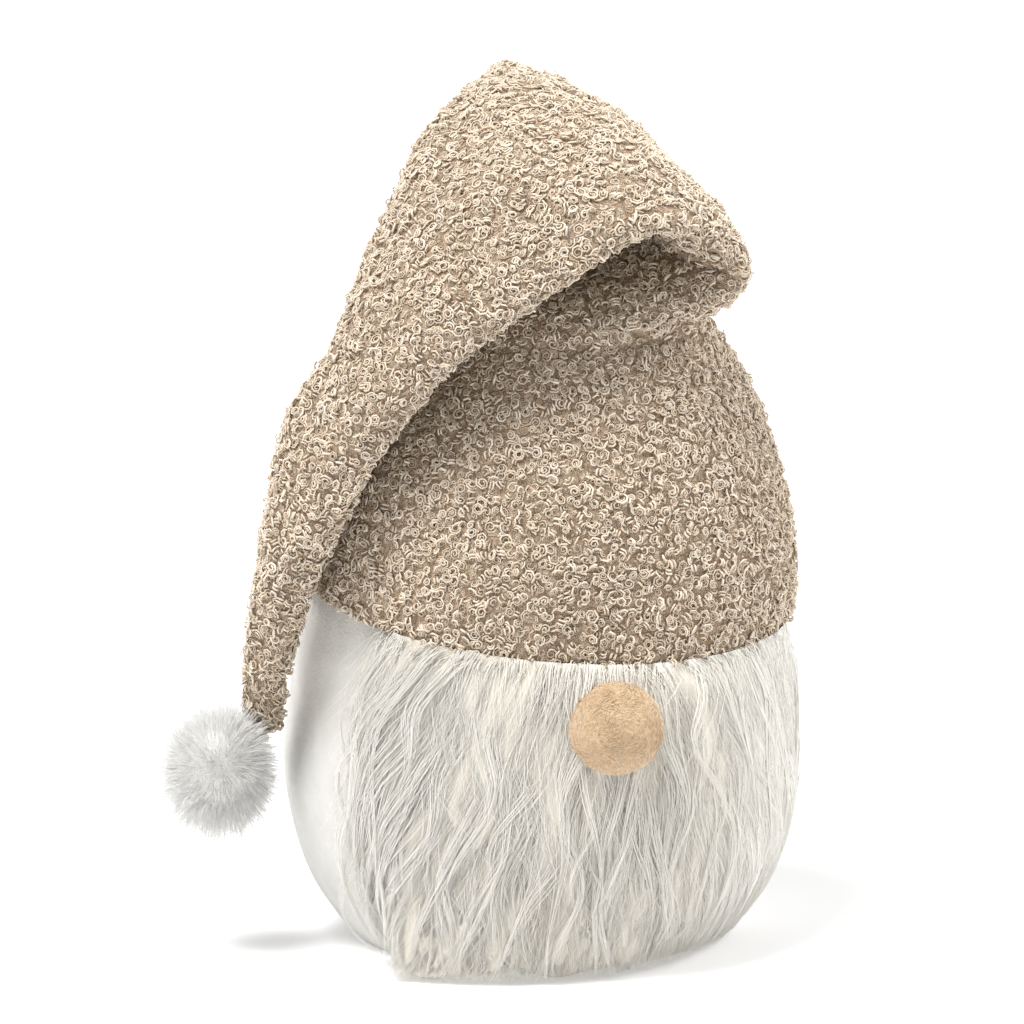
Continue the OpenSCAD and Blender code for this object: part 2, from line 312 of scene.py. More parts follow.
# Loose white fibre, springy and matt, the filling of the body, the cap and the nose.
place = add(tree, "TexCoord").outputs["Object"]
clumps = add(tree, "TexNoise", {"Vector": place, "Scale": 200, "Detail": 5, "Distortion": 2})
bump = add(tree, "Bump", {"Strength": 0.8, "Distance": 0.002, "Height": clumps.outputs["Fac"]})
colour = add(tree, "Mix", {
    0: clumps.outputs["Fac"], 6: linear("#E6E6E4"), 7: linear("#FAFAFA")}, data_type="RGBA")
shader = add(tree, "BsdfPrincipled", {
    "Base Color": colour.outputs[2], "Roughness": 0.9, "Normal": bump.outputs[0]})
add(tree, "OutputMaterial", {0: shader.outputs[0]})

# The fibre inside, the cushion's own shape drawn in by 5 to 8 mm so that no dent reaches it.
stuffing = skin[base_rings:] * [0.93, 0.93, 0.955] + [0, 0, 5]
fibre = mesh_piece("body_stuffing", poles(stuffing), capped_faces(rings, around), wadding)
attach(fibre, "figure")
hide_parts("fibre_filling")

# ---- Cap: the cone of boucle ------------------------------------------------------------------
# One cone of curly boucle knit, sewn to the body at its brim, held up by a wad of fibre, folded
# over at the top and hanging down the figure's right side. Its surface is a ring of cloth carried
# up the crown and then along a bending line of stations. A station's row holds its centre, the
# half-width of its ring as a vector, and the ring's depth.

cap_turn, cap_r, neck_z = np.radians(-17), 103.0, 246.0
brim_z, brim_side, brim_back = 142.0, 10.0, 12.0
stations = np.array([
    [22, 10, 212, 43, -52, 0, 68], [1, 5, neck_z, 43, -52, 0, 68], [25, 10, 280, 50, -56, -14, 30],
    [34, 8, 306, 48, -58, -30, 17], [17, -14, 316, 44, -54, -18, 18],
    [-3, -34, 308, 39, -44, -13, 19], [-25, -52, 288, 33, -36, -10, 18],
    [-45, -65, 265, 25, -28, -6, 17], [-62, -70, 241, 19, -23, -3, 15],
    [-78, -70, 218, 18, -20, -2, 14], [-91, -68, 186, 14, -18, -2, 12],
    [-100, -60, 152, 10, -13, 0, 10], [-106, -47, 121, 8, -10, 0, 9],
    [-108, -39, 101, 7, -8, 0, 8], [-108, -34, 88, 5, -6, 0, 6]], float)
tip = len(stations) - 1


def unit(v):
    """Vectors scaled to length one."""
    return v / np.maximum(np.linalg.norm(v, axis=-1, keepdims=True), 1e-12)


def station(s):
    """Rows of the station table at places s: a Catmull-Rom curve, half of 2b + (c-a)t +
    (2a-5b+4c-d)t^2 + (3b-a-3c+d)t^3 through rows a, b, c and d."""
    i = np.minimum(np.floor(s).astype(int), tip - 1)
    t = (s - i)[:, None]
    a, b, c, d = (stations[np.clip(i + n, 0, tip)] for n in (-1, 0, 1, 2))
    return 0.5 * (2 * b + (c - a) * t + (2 * a - 5 * b + 4 * c - d) * t ** 2
                  + (3 * b - a - 3 * c + d) * t ** 3)


def fold_rings(s, phi):
    """Cloth rings at places s along the fold: centre + cos(phi) half-width + sin(phi) depth, the
    depth square to both the half-width and the heading, which is kept upright near the neck. The
    cloth sinks in by up to 16 mm under the lip, where the fold leaves a hollow."""
    row = station(s)
    hollow = 16 * np.exp(-((s[:, None] - 2.25) / 0.75) ** 2 - ((phi - 0.85) / 0.5) ** 2)
    heading = unit(station(np.minimum(s + 0.05, tip))[:, :3] - station(s - 0.05)[:, :3])
    heading = unit(heading + np.stack([0 * s, 0 * s, 5 * np.maximum(0, 2 - s)], -1))
    width = row[:, 3:6]
    depth = unit(np.cross(width, heading)) * row[:, 6:7]
    ring = (row[:, None, :3] + np.cos(phi)[None, :, None] * width[:, None]
            + np.sin(phi)[None, :, None] * depth[:, None])
    return ring - unit(ring - row[:, None, :3]) * hollow[..., None]


def crown_rings(k, phi):
    """Cloth rings at shares k of the way from the tilted brim to the neck: round, drawn in to the
    body at the brim, and narrowing as 1 - 0.355 h^2.1 towards the neck."""
    def outline(z):
        return cap_r * (1 - 0.355 * (np.maximum(0, z - brim_z) / (neck_z - brim_z)) ** 2.1)
    first = stations[1]
    neck_r = np.hypot(first[3], first[4])
    a = np.arctan2(first[4], first[3]) - phi[None, :]
    k = k[:, None]
    foot = brim_z - brim_side * np.cos(a) + brim_back * np.sin(a)
    z = foot + (neck_z - foot) * k
    pull = (outline(foot) - body_radius(foot) - 4.8) * (1 - smooth((z - foot) / 45))
    r = outline(z) - pull + (neck_r - outline(neck_z)) * smooth(k)
    return np.stack([first[0] * smooth(k) + r * np.cos(a), first[1] * smooth(k) + r * np.sin(a), z], -1)


def turned(points, angle=cap_turn):
    """Points turned about the Z axis by angle."""
    c, s = np.cos(angle), np.sin(angle)
    x, y = points[..., 0], points[..., 1]
    return np.stack([c * x - s * y, s * x + c * y, points[..., 2]], -1)


columns = 120
phi = np.linspace(0, 2 * np.pi, columns, endpoint=False)
crown_part = crown_rings(np.linspace(0, 1, 46)[:-1], phi)
fold_part = fold_rings(np.linspace(1, 4, 70), phi)
hang_part = fold_rings(np.linspace(4, 7, 50), phi)
tail_part = fold_rings(np.linspace(7, tip, 110), phi)


def surface_normals(grid):
    """Outward normals of a closed grid of rings: across the ring crossed with along the tube."""
    along = np.gradient(grid, axis=0)
    across = np.roll(grid, -1, 1) - np.roll(grid, 1, 1)
    return unit(np.cross(along, across))


def rumpled(grid, seed, depth):
    """The grid moved along its normals by soft random waves, depth millimetres high."""
    row = np.arange(grid.shape[0])[:, None] * 2.5
    column = np.arange(grid.shape[1])[None, :] / grid.shape[1] * 2 * np.pi
    wave = wrinkle(60 * np.cos(column) + 0 * row, 60 * np.sin(column) + row, seed, 45)
    return grid + surface_normals(grid) * (depth * wave)[..., None]


whole = np.concatenate([crown_part, fold_part[:-1], hang_part[:-1], tail_part])
whole = turned(rumpled(whole, 5, 1.0))
cloth_normals = surface_normals(whole)
rows_crown = len(crown_part) + len(fold_part) - 1
rows_hang = rows_crown + len(hang_part) - 1

boucle_ground, tree = new_material("boucle_knit_ground")
# What shows between the curls: the roots of their locks and the knitted back, matt, with coils
# 4 mm across drawn as rings round each cell's middle. It is browner than the curls as painted shade
# between them, and darker still down in the dips of the rings.
place = add(tree, "TexCoord").outputs["Object"]
bent = add(tree, "TexNoise", {"Vector": place, "Scale": 320, "Detail": 2})
bent = add(tree, "MixRGB", {0: 0.004, 1: place, 2: bent.outputs["Color"]})
loops = add(tree, "TexVoronoi", {"Vector": bent.outputs[0], "Scale": 290})
ring = add(tree, "Math", {0: loops.outputs["Distance"], 1: 26.0}, operation="MULTIPLY")
ring = add(tree, "Math", {0: ring.outputs[0]}, operation="SINE")
round_off = add(tree, "Math", {0: loops.outputs["Distance"], 1: -2.2, 2: 1.1}, operation="MULTIPLY_ADD")
height = add(tree, "Math", {0: ring.outputs[0], 1: 0.22, 2: round_off.outputs[0]}, operation="MULTIPLY_ADD")
bump = add(tree, "Bump", {"Strength": 1.0, "Distance": 0.0016, "Height": height.outputs[0]})
# Painted shade and light: the colour follows the bump's height, dark in its dips and pale on its tops.
level = add(tree, "MapRange", {"Value": height.outputs[0], "From Min": -0.2, "From Max": 1.1})
colour = add(tree, "Mix", {
    0: level.outputs[0], 6: linear("#B29B83"), 7: linear("#E0D0BB")}, data_type="RGBA")
shader = add(tree, "BsdfPrincipled", {
    "Base Color": colour.outputs[2], "Roughness": 0.95, "Specular IOR Level": 0.15,
    "Normal": bump.outputs[0]})
add(tree, "OutputMaterial", {0: shader.outputs[0]})

ground_in = 2.0
ground = whole - cloth_normals * ground_in
brim_turn_in = ground[:3] - cloth_normals[:3] * 2.4


def cloth_tube(name, rows):
    """An open tube of the cap's cloth through those rings."""
    return mesh_piece(name, rows.reshape(-1, 3), [grid_faces(len(rows), columns)[:, ::-1]], boucle_ground)


cap_cloth = cloth_tube("cap_cloth", np.concatenate([brim_turn_in[::-1], ground[:rows_crown + 1]]))
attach(cap_cloth, "figure")
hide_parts("cap_crown")

# The wad fills the crown and the first part of the fold, 18 rings in from the brim and 12 from
# where the tail starts.
wad_rows = whole[18:rows_crown - 12]
wad_middle = wad_rows.mean(1, keepdims=True)
wad_rows = wad_middle + (wad_rows - wad_middle) * 0.78
wad_faces = capped_faces(len(wad_rows), columns)
cap_wad = mesh_piece("cap_wadding", poles(wad_rows), [f[:, ::-1] for f in wad_faces], wadding)
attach(cap_wad, "figure")
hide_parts("cap_filling")


def bend_with(piece):
    """Bakes the piece's placement into its mesh points."""
    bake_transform(piece)


tail_top = cloth_tube("tail_cloth_upper", ground[rows_crown:rows_hang + 1])
bend_with(tail_top)
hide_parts("tail_upper")

tail_end = ground[rows_hang:]
tip_middle = tail_end[-1:].mean(1, keepdims=True)
tail_close = tip_middle + (tail_end[-1:] - tip_middle) * 0.3
tail_low = cloth_tube("tail_cloth_lower", np.concatenate([tail_end, tail_close]))
bend_with(tail_low)
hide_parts("tail_lower")

# ---- Cap: the curls ---------------------------------------------------------------------------
# Boucle's face is a crowd of little coiled locks 3 to 6 mm across, most of them standing like
# snail shells and some lying on their sides, oatmeal to cream, with painted light that makes them
# paler on top and painted shade that makes them browner down in the gaps.


def tubes(paths, radii, side, corners=3):
    """Closed tapering tubes along paths, an array of paths by places by xyz. Each ring has corners
    points at radii from its path, and both ends close in a point. side is a vector per path that
    the rings start from. Returns points and faces."""
    heading = unit(np.gradient(paths, axis=1))
    across = unit(np.cross(heading, np.broadcast_to(side[:, None], paths.shape)))
    up = np.cross(heading, across)
    a = np.arange(corners) * 2 * np.pi / corners
    ring = (paths[:, :, None] + radii[:, :, None, None] * (
        np.cos(a)[:, None] * across[:, :, None] + np.sin(a)[:, None] * up[:, :, None]))
    count, places = paths.shape[:2]
    ends = np.stack([paths[:, 0] - heading[:, 0] * radii[:, :1],
                     paths[:, -1] + heading[:, -1] * radii[:, -1:]], 1)
    points = np.concatenate([ring.reshape(count, -1, 3), ends], 1)
    start = np.arange(count)[:, None, None] * (places * corners + 2)
    quads, fans = capped_faces(places, corners)
    return points.reshape(-1, 3), [(start + quads).reshape(-1, 4), (start + fans).reshape(-1, 3)]


def scattered(grid, step, seed):
    """Places spread evenly over a closed grid of rings, about step millimetres apart. Rings of
    places follow each other by the widest gap between rings, and where rings crowd together the
    places are thinned to match. Returns fractional row and column numbers."""
    draw = np.random.default_rng(seed)
    gaps = np.linalg.norm(np.diff(grid, axis=0), axis=-1)
    widest = gaps.max(1)
    along = np.concatenate([[0], np.cumsum(widest)])
    rows, places = [], []
    for level in np.arange(step / 2, along[-1], step):
        row = np.interp(level, along, np.arange(len(along)))
        i = min(int(row), len(gaps) - 1)
        ring = grid[i] + (grid[i + 1] - grid[i]) * (row - i)
        arc = np.concatenate([[0], np.cumsum(np.linalg.norm(np.roll(ring, -1, 0) - ring, axis=-1))])
        count = max(3, int(round(arc[-1] / step)))
        at = (np.arange(count) + draw.uniform() + draw.uniform(-0.38, 0.38, count)) / count * arc[-1]
        column = np.interp(at % arc[-1], arc, np.arange(len(arc)))
        share = gaps[i][column.astype(int) % len(ring)] / widest[i]
        kept = draw.uniform(size=count) < share
        rows.append(row + draw.uniform(-0.38, 0.38, kept.sum()) * step / widest[i])
        places.append(column[kept])
    return np.clip(np.concatenate(rows), 0, len(grid) - 1.001), np.concatenate(places)


def on_grid(grid, row, column):
    """Values of a closed grid at fractional rows and columns, by straight interpolation."""
    i, j = row.astype(int), column.astype(int)
    u, v = (row - i)[:, None], (column - j)[:, None]
    n = grid.shape[1]
    return ((grid[i, j % n] * (1 - v) + grid[i, (j + 1) % n] * v) * (1 - u)
            + (grid[i + 1, j % n] * (1 - v) + grid[i + 1, (j + 1) % n] * v) * u)


def curl_locks(centre, normal, seed, step):
    """Coiled locks at those places, each one strand of fibre. Most are snail shells: a spiral that
    closes in from a rim painted pale to an eye painted duller. The rest are barrels on their sides:
    a helix that keeps its radius. The tone paints shade where a strand leaves the cloth and light on
    top, over each lock's own random tone. Returns points, faces and tones."""
    draw = np.random.default_rng(seed)
    count, places = len(centre), 12
    t = np.linspace(0, 1, places)
    barrel = draw.uniform(size=count) < 0.24
    tilt = np.where(barrel, draw.uniform(0.9, 1.65, count), np.abs(draw.normal(0, 0.5, count)))
    guide = unit(np.cross(normal, draw.normal(size=(count, 3))))
    axis = unit(np.cos(tilt)[:, None] * normal + np.sin(tilt)[:, None] * guide)
    first = unit(np.cross(axis, draw.normal(size=(count, 3))))
    second = np.cross(axis, first)
    radius = step * np.where(barrel, draw.uniform(0.36, 0.56, count), draw.uniform(0.5, 0.84, count))
    close = np.where(barrel, draw.uniform(0.05, 0.3, count), draw.uniform(0.62, 0.86, count))
    rise = step * np.where(barrel, draw.uniform(0.6, 1.0, count), draw.uniform(-0.25, 0.4, count))
    turns = draw.uniform(1.55, 2.05, count)
    angle = 2 * np.pi * turns[:, None] * t * draw.choice([-1, 1], count)[:, None]
    r = radius[:, None] * (1 - close[:, None] * t)
    squash = draw.uniform(0.72, 1.0, count)[:, None]
    lift = draw.uniform(-2.2, -0.7, count)
    path = (centre[:, None] + normal[:, None] * lift[:, None, None]
            + (r * np.cos(angle))[..., None] * first[:, None]
            + (r * squash * np.sin(angle))[..., None] * second[:, None]
            + (rise[:, None] * (t - 0.5))[..., None] * axis[:, None])
    thick = draw.uniform(0.36, 0.54, count)[:, None] * (1 - 0.3 * t ** 3)
    points, faces = tubes(path, thick, axis)
    up = ((path - centre[:, None]) * normal[:, None]).sum(-1)
    # Painted light and shade: the tone rises with the height over the cloth and falls towards the spiral's
    # eye; the random parts are each lock's own tone.
    shade = (draw.normal(0.5, 0.09, count)[:, None] + 0.1 * (up + 1.6) - 0.26 * (t - 0.3)
             + draw.normal(0, 0.04, (count, places)))
    shade = np.concatenate([np.repeat(shade, 3, axis=1), shade[:, :1], shade[:, -1:]], 1)
    return points, faces, np.clip(shade, 0, 1).ravel()


boucle_curl, tree = new_material("boucle_curls")
# Acrylic and wool locks, matt with a slight sheen, from oatmeal to cream; the tone that picks the
# colour carries painted light and shade. A mottle under 1 mm across stands for the single fibres.
tone = add(tree, "Attribute", attribute_name="tone").outputs["Fac"]
place = add(tree, "TexCoord").outputs["Object"]
fibre = add(tree, "TexNoise", {"Vector": place, "Scale": 1300, "Detail": 3})
mixed = add(tree, "Math", {0: fibre.outputs["Fac"], 1: 0.5, 2: tone}, operation="MULTIPLY_ADD")
low = add(tree, "MapRange", {"Value": mixed.outputs[0], "From Min": 0.3, "From Max": 0.75})
high = add(tree, "MapRange", {"Value": mixed.outputs[0], "From Min": 0.7, "From Max": 1.2})
colour = add(tree, "Mix", {0: low.outputs[0], 6: linear("#BFA88E"), 7: linear("#E0CFB8")}, data_type="RGBA")
colour = add(tree, "Mix", {0: high.outputs[0], 6: colour.outputs[2], 7: linear("#F3E7D6")}, data_type="RGBA")
bump = add(tree, "Bump", {"Strength": 0.4, "Distance": 0.0003, "Height": fibre.outputs["Fac"]})
shader = add(tree, "BsdfPrincipled", {
    "Base Color": colour.outputs[2], "Roughness": 0.85, "Specular IOR Level": 0.2, "Sheen Weight": 0.35,
    "Normal": bump.outputs[0]})
add(tree, "OutputMaterial", {0: shader.outputs[0]})


def curl_piece(name, low, high, step, seed, share=(0, 1)):
    """The curls of rows low to high of the cap's cloth, or of a share of them."""
    row, column = scattered(whole[low:high + 1], step, seed)
    row += low
    kept = slice(int(share[0] * len(row)), int(share[1] * len(row)))
    centre = on_grid(whole, row[kept], column[kept])
    normal = unit(on_grid(cloth_normals, row[kept], column[kept]))
    points, faces, tone = curl_locks(centre, normal, seed + int(97 * share[0]), step)
    piece = mesh_piece(name, points, faces, boucle_curl, tone=tone)
    return piece


curl_step = 3.5
for n in range(4):
    crown_curls = curl_piece(f"cap_curls_{n + 1}", 0, rows_crown, curl_step, 11, (n / 4, (n + 1) / 4))
    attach(crown_curls, "figure")
upper_curls = curl_piece("tail_curls_upper", rows_crown, rows_hang, curl_step, 12)
bend_with(upper_curls)
lower_curls = curl_piece("tail_curls_lower", rows_hang, len(whole) - 1, curl_step, 13)
bend_with(lower_curls)

# ---- Beard ------------------------------------------------------------------------------------
# Long faux fur on a knitted ground, the whole front gore of the body: a downy undercoat with
# waved guard hairs over it, combed down and outwards from the nose into pointed locks that
# overlap from the brim to the table. An angle is round the body from the nose, positive towards +X.

draw = np.random.default_rng(21)


def brim_height(theta):
    """Height of the cap's brim at an angle theta."""
    a = theta - np.pi / 2 - cap_turn
    return brim_z - brim_side * np.cos(a) + brim_back * np.sin(a)


def fur_base(z, theta):
    """Radius that fur hangs from at height z. Above the widest ring it is the body's own. Below
    it hair hangs, so the radius only draws in towards the fringe's by (depth / 78)^1.8. The
    fringe stands out furthest on the figure's right, where the beard was combed to."""
    under = np.maximum(0, waist_z - z) / waist_z
    fringe = np.maximum(74, 84 - 22 * theta)
    return np.maximum(body_radius(z), body_r - (body_r - fringe) * under ** 1.8)


fur_from, fur_to = -beard_half + 0.09, beard_half


def beside(angle, wide):
    """How far fur stands off at an angle: nothing past its side edges, all of it from wide within."""
    return smooth((angle - fur_from) / wide) * smooth((fur_to - angle) / wide)


def hugging(angle):
    """Share of its full depth that the fur keeps: it thins to a fifth towards the figure's left."""
    return 1 - 0.78 * smooth((angle - 0.3) / 0.5)


def combing(angle):
    """How hair at an angle was combed away from the nose, as a share of the most, which is at 41
    degrees either way."""
    return np.sin(2.2 * angle)


def round_axis(r, angle, z):
    """Points at radius r, an angle and height z."""
    return np.stack([r * np.sin(angle), -r * np.cos(angle), z], -1)


rows = []
for row_n, row_z in enumerate((150, 134, 116, 97, 78, 59, 41, 24)):
    n = 13
    at = (np.arange(n) + 0.5 * (row_n % 2) + draw.uniform(-0.3, 0.3, n)) / (n - 0.5)
    at = fur_from + 0.04 + (fur_to - fur_from - 0.08) * np.clip(at, 0, 1)
    rows.append(np.stack([at, row_z + draw.uniform(-7, 7, n)], -1))
lock_root = np.concatenate(rows)
n_locks = len(lock_root)
highest = brim_height(lock_root[:, 0]) + draw.uniform(2, 5, n_locks)
lock_root[:, 1] = np.minimum(lock_root[:, 1], highest)
lock_lean = 0.0052 * combing(lock_root[:, 0]) + draw.normal(0, 0.0012, n_locks)
lock_length = np.minimum(draw.uniform(58, 92, n_locks), lock_root[:, 1] - draw.uniform(-2, 12, n_locks))
lock_wave = draw.uniform(0.015, 0.05, n_locks)
lock_phase = draw.uniform(0, 2 * np.pi, n_locks)
lock_pitch = draw.uniform(48, 90, n_locks)
lock_height = draw.uniform(1.4, 3.4, n_locks)


def lock_angle(i, d):
    """Angle of lock i at a distance d down from its root: it leans outwards at first, by its lean
    times 42 (1 - exp(-d / 42)), and waves more and more with its own pitch."""
    start = lock_phase[i][..., None]
    turn = start + 2 * np.pi * d / lock_pitch[i][..., None]
    wave = lock_wave[i][..., None] * (np.sin(turn) - np.sin(start)) * smooth(d / 50 + 0.25)
    return lock_root[i, 0][..., None] + lock_lean[i][..., None] * 42 * (1 - np.exp(-d / 42)) + wave


# The undercoat: a closed quilt of fur whose outer face is the highest of the broad locks at each
# place, each a pointed drop 18 mm wide. across and along carry its combing for the shader. It
# ends in an uneven hem just over the table, and its side edges are sunk into the body's plush.
columns_u, rows_u = 170, 96
theta = np.linspace(fur_from - 0.03, fur_to + 0.03, columns_u)[None, :]
level = np.linspace(0, 1, rows_u)[:, None]
hem = 0.8 + 1.5 * (1 + wrinkle(100 * theta, 0 * theta, 8, 26)) * smooth((theta + 1.15) / 0.3)
z = hem + (brim_height(theta) + 1.0 - hem) * level
raised = np.zeros(z.shape)
combed = theta * 100 + 0 * z
for i in range(n_locks):
    d = lock_root[i, 1] - z
    t = d / lock_length[i]
    middle = lock_angle(np.array([i]), np.maximum(d, 0).reshape(1, -1)).reshape(z.shape)
    width = 9.0 * np.sqrt(np.clip(1 - np.clip(t, 0, 1) ** 1.7, 0, 1)) + 0.01
    off = np.abs(theta - middle) * 100 / width
    drop = np.clip(1 - off ** 2, 0, 1) ** 0.8 * smooth(t * 4 + 0.1) * (t <= 1) * (t > -0.03)
    here = lock_height[i] * drop
    combed = np.where(here > raised, (theta - middle) * 100 + 37.0 * i, combed)
    raised = np.maximum(raised, here)
edge = beside(theta, 0.12) * smooth((z - hem) / 4 + 0.2) * smooth((1 - level) / 0.1 + 0.25) * hugging(theta)
side = beside(theta, 0.17)
depth = (2.2 + 2.0 * smooth((140 - z) / 60)) * (0.2 + 0.8 * edge) + raised * edge
sunk = 0.8 + 4.5 * (1 - beside(theta, 0.09))
r = body_radius(z) + (fur_base(z, theta) - body_radius(z)) * side + depth - sunk
outer = round_axis(r, theta, z)
inner = round_axis(np.minimum(body_radius(z) - 1.2, r - 0.8), theta, z)

undercoat, tree = new_material("faux_fur_undercoat")
# Dense downy modacrylic, off-white and matt: fine streaks along the combing, and painted shade,
# a warm grey, where one lock dips under the next.
across = add(tree, "Attribute", attribute_name="across").outputs["Fac"]
along = add(tree, "Attribute", attribute_name="along").outputs["Fac"]
deep = add(tree, "Attribute", attribute_name="deep").outputs["Fac"]
comb = add(tree, "CombineXYZ", {0: across, 1: along})
streak = add(tree, "TexNoise", {
    "Vector": comb.outputs[0], "Scale": 2.4, "Detail": 4, "Roughness": 0.65, "Distortion": 0.3})
bump = add(tree, "Bump", {"Strength": 0.6, "Distance": 0.0010, "Height": streak.outputs["Fac"]})
# Painted shade: the colour darkens where the lock height is low, between and under the locks.
shade = add(tree, "Math", {0: streak.outputs["Fac"], 1: 0.6, 2: deep}, operation="MULTIPLY_ADD")
level_in = add(tree, "MapRange", {"Value": shade.outputs[0], "From Min": 0.3, "From Max": 1.15})
colour = add(tree, "Mix", {
    0: level_in.outputs[0], 6: linear("#D6CFC1"), 7: linear("#EDE7DB")}, data_type="RGBA")
shader = add(tree, "BsdfPrincipled", {
    "Base Color": colour.outputs[2], "Roughness": 0.9, "Specular IOR Level": 0.15, "Sheen Weight": 0.4,
    "Sheen Roughness": 0.4, "Normal": bump.outputs[0]})
add(tree, "OutputMaterial", {0: shader.outputs[0]})

one_side = rows_u * columns_u
index = np.arange(one_side).reshape(rows_u, columns_u)
rim = np.concatenate([index[0], index[1:, -1], index[-1, -2::-1], index[-2:0:-1, 0]])
rim_back = rim + one_side
rim_faces = np.stack([np.roll(rim, -1), rim, rim_back, np.roll(rim_back, -1)], -1)
front_faces = grid_faces(rows_u, columns_u, wrap=False)
coat = mesh_piece(
    "beard_undercoat", np.concatenate([outer.reshape(-1, 3), inner.reshape(-1, 3)]),
    [front_faces, front_faces[:, ::-1] + one_side, rim_faces], undercoat,
    across=np.tile(combed.ravel(), 2), along=np.tile((z * 0.07).ravel(), 2),
    # The lock height goes to the shader, which paints shade where it is low.
    deep=np.tile((raised / 3.4).ravel(), 2))
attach(coat, "figure")
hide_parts("beard_pile")


def hung_hair(angle, d, root_z, lift, floor_at, curve):
    """Hair paths as points: at a distance d down from the root, at those angles, standing off the
    fur's base by lift (1 - exp(-d / 8)) plus a curve. They lie on the table where they would
    pass it, and the nose sits down into them."""
    z = root_z[:, None] + 1.2 * np.sin(np.pi * np.minimum(d / 8, 1)) - np.maximum(0, d - 1.5)
    low = np.maximum(0, floor_at[:, None] - z)
    z = np.maximum(z, floor_at[:, None])
    side = beside(angle, 0.14)
    base_r = body_radius(z) + (fur_base(z, angle) - body_radius(z)) * side
    r = base_r + 1.2 + (lift[:, None] * (1 - np.exp(-d / 8)) + curve) * hugging(angle) + 0.35 * low
    return round_axis(r, angle, z)


def fur_material(name, roots, ends, roughness, gloss, sheen, sheen_roughness=0.5):
    """Fibres coloured from roots to ends by the tone that their points keep."""
    material, tree = new_material(name)
    tone = add(tree, "Attribute", attribute_name="tone").outputs["Fac"]
    colour = add(tree, "Mix", {0: tone, 6: linear(roots), 7: linear(ends)}, data_type="RGBA")
    shader = add(tree, "BsdfPrincipled", {
        "Base Color": colour.outputs[2], "Roughness": roughness, "Specular IOR Level": gloss,
        "Sheen Weight": sheen, "Sheen Roughness": sheen_roughness})
    add(tree, "OutputMaterial", {0: shader.outputs[0]})
    return material


# Modacrylic guard hairs, off-white, with a soft bright sheen along their length.
beard_fur = fur_material("long_faux_fur", "#E9E4D8", "#FCF9F1", 0.5, 0.4, 0.8)


def hair_piece(name, paths, thick, tone, body="figure", material=beard_fur):
    """Hairs along those paths as one piece: tapering tubes, thick millimetres in radius."""
    steps = paths.shape[1]
    t = np.linspace(0, 1, steps)
    radii = thick[:, None] * (1 - 0.7 * t ** 2)
    points, faces = tubes(paths, radii, unit(paths[:, 0] * np.array([1, 1, 0]) + 1e-6))
    # Painted shade and light: a hair darkens towards its root, down in the fur, and pales towards its tip,
    # over its own tone.
    shade = tone[:, None] + 0.3 * (t - 0.4)
    shade = np.concatenate([np.repeat(shade, 3, axis=1), shade[:, :1], shade[:, -1:]], 1)
    piece = mesh_piece(name, points, faces, material, tone=np.clip(shade, 0, 1).ravel())
    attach(piece, body)
    return piece


# Guard hairs: each lock has strands of hairs that gather towards its middle line as they fall.
steps, strands, hairs = 10, 5, 9
t = np.linspace(0, 1, steps)[None, :]
lock = np.repeat(np.arange(n_locks), strands)
strand_off = draw.uniform(-0.1, 0.1, len(lock))
strand_cross = draw.normal(0, 0.016, len(lock))
strand_gather = draw.uniform(0.5, 0.98, len(lock))
strand_z = draw.uniform(-7, 7, len(lock))
strand_long = draw.uniform(0.72, 1.12, len(lock))
strand_lift = draw.uniform(3.6, 7.0, len(lock)) * (0.55 + 0.45 * smooth((150 - lock_root[lock, 1]) / 50))
strand_wave = draw.uniform(0.6, 2.2, len(lock))
strand = np.repeat(np.arange(len(lock)), hairs)
member = lock[strand]
count = len(member)
root_z = lock_root[member, 1] + strand_z[strand] + draw.normal(0, 1.6, count)
hair_off = draw.normal(0, 0.012, count)
theta_root = lock_root[member, 0] + strand_off[strand] + hair_off
root_z = np.clip(root_z, 3, brim_height(theta_root) + 1.5)
length = np.minimum(lock_length[member] * strand_long[strand] * draw.uniform(0.82, 1.04, count), root_z + 2)
d = length[:, None] * t
angle = (lock_angle(member, d)
         + strand_off[strand][:, None] * (1 - strand_gather[strand][:, None] * smooth(t))
         + strand_cross[strand][:, None] * np.sin(np.pi * t * 1.3)
         + hair_off[:, None] * (1 - draw.uniform(0.55, 1.05, count)[:, None] * smooth(t * 1.1)))
ripple = strand_wave[strand][:, None] * np.sin(lock_phase[member][:, None] + 1.7 + d / 9)
guard = hung_hair(angle, d, root_z, strand_lift[strand] + draw.normal(0, 0.4, count),
                  draw.uniform(0.7, 3.5, len(lock))[strand], ripple * t)
guard_tone = draw.normal(0.66, 0.14, len(lock))[strand] + draw.normal(0, 0.08, count)
guard_thick = draw.uniform(0.1, 0.17, count)
for n, part in enumerate(np.array_split(np.arange(count), 2)):
    hair_piece(f"beard_guard_hair_{n + 1}", guard[part], guard_thick[part], guard_tone[part])

# Wisps: long bright guard hairs that cling together over the rest. Each leaves the fur in a bundle
# some 5 mm wide, swings outwards, waves and runs out in a point.
wisps, hairs, steps = 96, 15, 13
root = np.stack([
    fur_from + 0.06 + (fur_to - fur_from - 0.1) * draw.uniform(size=wisps), draw.uniform(52, 150, wisps)])
root[1] = np.minimum(root[1], brim_height(root[0]) + draw.uniform(-3, 1, wisps))
lean = 0.0085 * combing(root[0]) + draw.normal(0, 0.002, wisps)
swing = draw.uniform(0.02, 0.07, wisps) * draw.choice([-1, 1], wisps)
pitch, phase = draw.uniform(60, 110, wisps), draw.uniform(0, 2 * np.pi, wisps)
reach = np.minimum(draw.uniform(55, 100, wisps), root[1] - draw.uniform(-3, 16, wisps))
wisp_lift = draw.uniform(5.5, 8.5, wisps)
member = np.repeat(np.arange(wisps), hairs)
count = len(member)
t = np.linspace(0, 1, steps)[None, :]
